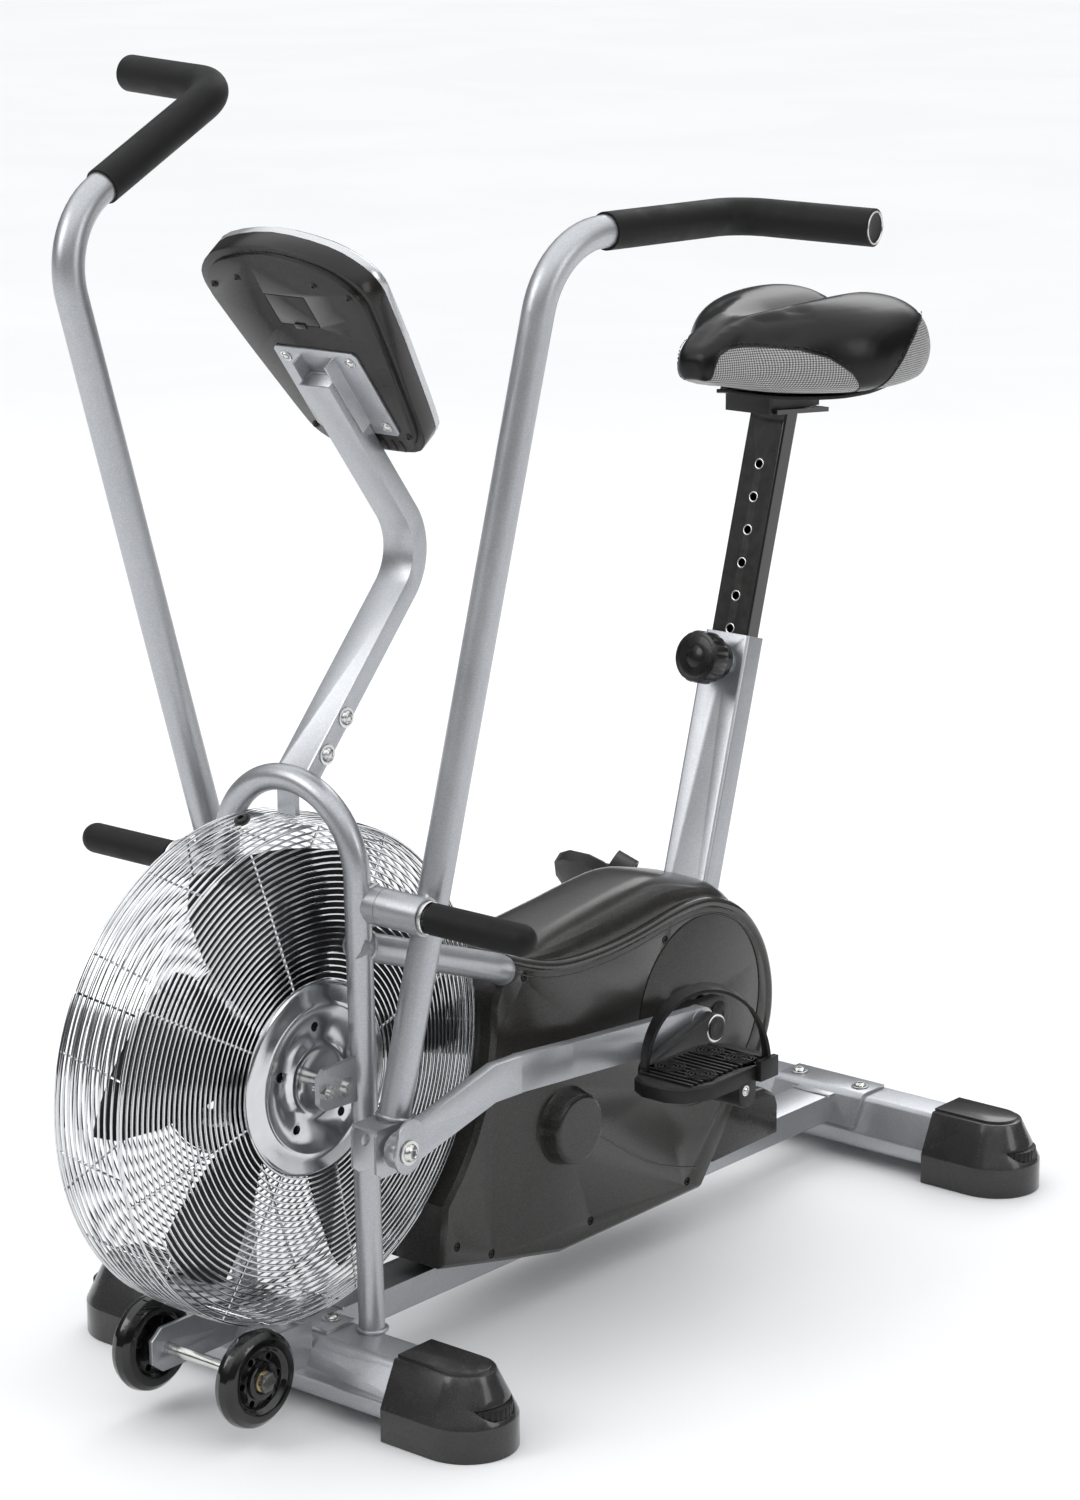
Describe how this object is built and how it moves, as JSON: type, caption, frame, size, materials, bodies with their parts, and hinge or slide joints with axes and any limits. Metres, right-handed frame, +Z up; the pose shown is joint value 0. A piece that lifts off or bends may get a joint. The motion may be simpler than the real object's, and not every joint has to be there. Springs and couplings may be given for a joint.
{
  "type": "air bike",
  "caption": "Fan-resistance exercise bike with a wire-caged fan, swinging arm levers linked to the pedals, foot pegs, a raised console and a height-adjustable padded saddle.",
  "frame": {"origin": "on the floor under the middle of the bounding box", "axes": "+X to the rider's left, -Y towards the fan end (the front), +Y to the rear, +Z up"},
  "size_m": [0.7094, 1.255, 1.3016],
  "materials": {
    "frame_paint": "silver-grey metallic powder coat",
    "bright_zinc": "bright zinc plate",
    "guard_chrome": "chrome-plated wire",
    "cover_plastic": "charcoal metallic, fine texture",
    "cap_plastic": "charcoal, satin",
    "foam": "closed-cell foam",
    "black_gloss_paint": "black gloss powder coat",
    "black_paint": "black satin",
    "black_plastic": "moulded, fine grain",
    "knob_plastic": "moulded, soft gloss",
    "console_plastic": "moulded, fine grain",
    "bezel_silver": "silver lacquer",
    "window": "clear lens over a grey display",
    "button_rubber": "soft touch",
    "saddle_vinyl": "smooth vinyl with silver mesh sides",
    "wheel_urethane": "hard glossy urethane",
    "belt_rubber": "ribbed",
    "fan_paint": "black satin"
  },
  "bodies": {
    "frame": {"axle_nuts": "bright_zinc", "battery_door": "console_plastic", "brace_tubes": "frame_paint", "cage_left": "guard_chrome", "cage_right": "guard_chrome", "cage_rim": "guard_chrome", "console_back": "console_plastic", "console_bracket": "frame_paint", "console_fasteners": "bright_zinc", "console_front": "bezel_silver", "console_mast": "frame_paint", "console_window": "window", "cover_left": "cover_plastic", "cover_rear": "cover_plastic", "cover_right": "cover_plastic", "cover_screws": "bright_zinc", "cover_top": "cover_plastic", "crank_belt": "belt_rubber", "end_caps": "cap_plastic", "fan_axle": "bright_zinc", "fan_belt": "belt_rubber", "fork_hoop": "frame_paint", "front_stabilizer": "frame_paint", "lock_collar": "bright_zinc", "main_beam": "frame_paint", "mid_post": "frame_paint", "peg_foams": "foam", "peg_rods": "bright_zinc", "rear_stabilizer": "frame_paint", "seat_liner": "black_plastic", "seat_tube": "frame_paint", "stabilizer_bolts": "bright_zinc", "wheel_axle": "bright_zinc"},
    "crank": {"crank_axle": "black_paint", "crank_left": "black_paint", "crank_right": "black_paint"},
    "jackshaft": {"jackshaft": "bright_zinc"},
    "fan": {"fan_rotor": "fan_paint"},
    "link_left": {"link_left": "frame_paint"},
    "link_right": {"link_right": "frame_paint"},
    "pedal_left": {"pedal_left": "black_plastic", "strap_left": "belt_rubber"},
    "pedal_right": {"pedal_right": "black_plastic", "strap_right": "belt_rubber"},
    "lever_left": {"lever_left": "frame_paint", "grip_left": "foam"},
    "lever_right": {"lever_right": "frame_paint", "grip_right": "foam"},
    "seat": {"seat_post": "black_gloss_paint", "saddle_pan": "black_plastic", "saddle_cushion": "saddle_vinyl"},
    "lock_knob": {"lock_knob": "knob_plastic"},
    "transport_wheel_left": {"transport_wheel_left": "wheel_urethane"},
    "transport_wheel_right": {"transport_wheel_right": "wheel_urethane"},
    "button_mode": {"button_mode": "button_rubber"},
    "button_reset": {"button_reset": "button_rubber"},
    "leveller_front_left": {"leveller_front_left": "black_plastic"},
    "leveller_front_right": {"leveller_front_right": "black_plastic"},
    "leveller_rear_left": {"leveller_rear_left": "black_plastic"},
    "leveller_rear_right": {"leveller_rear_right": "black_plastic"}
  },
  "joints": [
    {"name": "crank_spin", "type": "hinge", "parent": "frame", "child": "crank", "pos_m": [0, 0.2295, 0.262], "axis": [1, 0, 0], "continuous": true},
    {"name": "jackshaft_spin", "type": "hinge", "parent": "frame", "child": "jackshaft", "pos_m": [0, -0.0015, 0.192], "axis": [1, 0, 0], "continuous": true},
    {"name": "fan_spin", "type": "hinge", "parent": "frame", "child": "fan", "pos_m": [0, -0.374, 0.3425], "axis": [1, 0, 0], "continuous": true},
    {"name": "link_left_turn", "type": "hinge", "parent": "crank", "child": "link_left", "pos_m": [0.101, 0.1777, 0.26653], "axis": [1, 0, 0], "continuous": true},
    {"name": "link_right_turn", "type": "hinge", "parent": "crank", "child": "link_right", "pos_m": [-0.101, 0.2813, 0.25747], "axis": [1, 0, 0], "continuous": true},
    {"name": "pedal_left_spin", "type": "hinge", "parent": "crank", "child": "pedal_left", "pos_m": [0.2, 0.07336, 0.24559], "axis": [1, 0, 0], "continuous": true},
    {"name": "pedal_right_spin", "type": "hinge", "parent": "crank", "child": "pedal_right", "pos_m": [-0.2, 0.38564, 0.27841], "axis": [1, 0, 0], "continuous": true},
    {"name": "lever_left_swing", "type": "hinge", "parent": "frame", "child": "lever_left", "pos_m": [0.1415, -0.3313, 0.5173], "axis": [1, 0, 0], "range_deg": [0, 27]},
    {"name": "lever_right_swing", "type": "hinge", "parent": "frame", "child": "lever_right", "pos_m": [-0.1415, -0.3313, 0.5173], "axis": [1, 0, 0], "range_deg": [-27, 0]},
    {"name": "seat_height", "type": "slide", "parent": "frame", "child": "seat", "axis": [0, 0.279, 0.9603], "range_m": [-0.1847, 0.07388]},
    {"name": "lock_pull", "type": "slide", "parent": "frame", "child": "lock_knob", "axis": [0, -0.9603, 0.279], "range_m": [0, 0.01], "stiffness_N_per_m": 600, "springref_m": -0.005},
    {"name": "transport_wheel_left_spin", "type": "hinge", "parent": "frame", "child": "transport_wheel_left", "pos_m": [0.0713, -0.4827, 0.0678], "axis": [1, 0, 0], "continuous": true},
    {"name": "transport_wheel_right_spin", "type": "hinge", "parent": "frame", "child": "transport_wheel_right", "pos_m": [-0.0713, -0.4827, 0.0678], "axis": [1, 0, 0], "continuous": true},
    {"name": "leveller_front_left_turn", "type": "hinge", "parent": "frame", "child": "leveller_front_left", "pos_m": [0.25, -0.3525, 0.045], "axis": [0, 0, 1], "continuous": true},
    {"name": "leveller_front_right_turn", "type": "hinge", "parent": "frame", "child": "leveller_front_right", "pos_m": [-0.25, -0.3525, 0.045], "axis": [0, 0, 1], "continuous": true},
    {"name": "leveller_rear_left_turn", "type": "hinge", "parent": "frame", "child": "leveller_rear_left", "pos_m": [0.25, 0.5693, 0.045], "axis": [0, 0, 1], "continuous": true},
    {"name": "leveller_rear_right_turn", "type": "hinge", "parent": "frame", "child": "leveller_rear_right", "pos_m": [-0.25, 0.5693, 0.045], "axis": [0, 0, 1], "continuous": true},
    {"name": "button_mode_press", "type": "slide", "parent": "frame", "child": "button_mode", "axis": [0, -0.803, -0.596], "range_m": [0, 0.0015], "stiffness_N_per_m": 500, "springref_m": -0.001},
    {"name": "button_reset_press", "type": "slide", "parent": "frame", "child": "button_reset", "axis": [0, -0.803, -0.596], "range_m": [0, 0.0015], "stiffness_N_per_m": 500, "springref_m": -0.001}
  ],
  "couplings": [
    {"joint": "link_left_turn", "follows": "crank_spin", "ratio": -1},
    {"joint": "link_right_turn", "follows": "crank_spin", "ratio": -1},
    {"joint": "jackshaft_spin", "follows": "crank_spin", "ratio": 4.75},
    {"joint": "fan_spin", "follows": "crank_spin", "ratio": 11.4}
  ]
}
